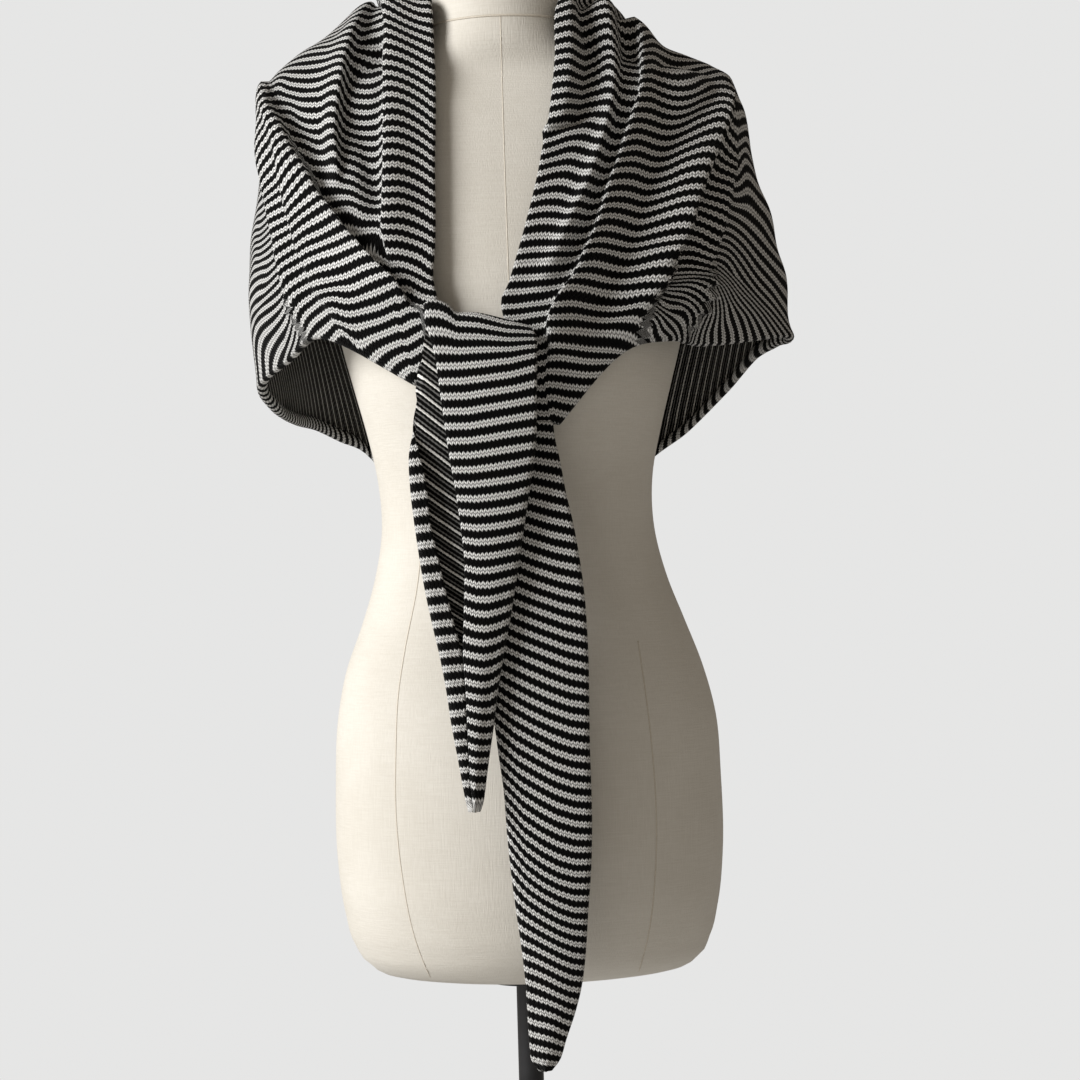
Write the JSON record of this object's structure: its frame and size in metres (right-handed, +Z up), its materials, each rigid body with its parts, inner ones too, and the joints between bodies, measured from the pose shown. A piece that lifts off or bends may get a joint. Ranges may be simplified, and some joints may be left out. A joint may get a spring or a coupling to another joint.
{
  "type": "triangle scarf on a limbless dress form",
  "caption": "Striped knitted triangle scarf wrapped round the shoulders of a limbless dress form and knotted in front, tails hanging.",
  "frame": {"origin": "centre of the base plate's underside, on the floor", "axes": "+Z up along the pole; the form faces -Y; +X is the viewer's right when facing it"},
  "size_m": [0.4414, 0.32, 1.511],
  "materials": {
    "knit": "matt striped jersey knit, near black and pale grey",
    "linen": "matt cream linen stretched over the form",
    "steel": "satin dark paint"
  },
  "bodies": {
    "root": {"scarf_wrap": "knit", "scarf_knot": "knit", "scarf_short_tail": "knit", "scarf_long_tail": "knit", "form_torso": "linen", "stand_pole": "steel", "stand_base": "steel"}
  },
  "joints": []
}
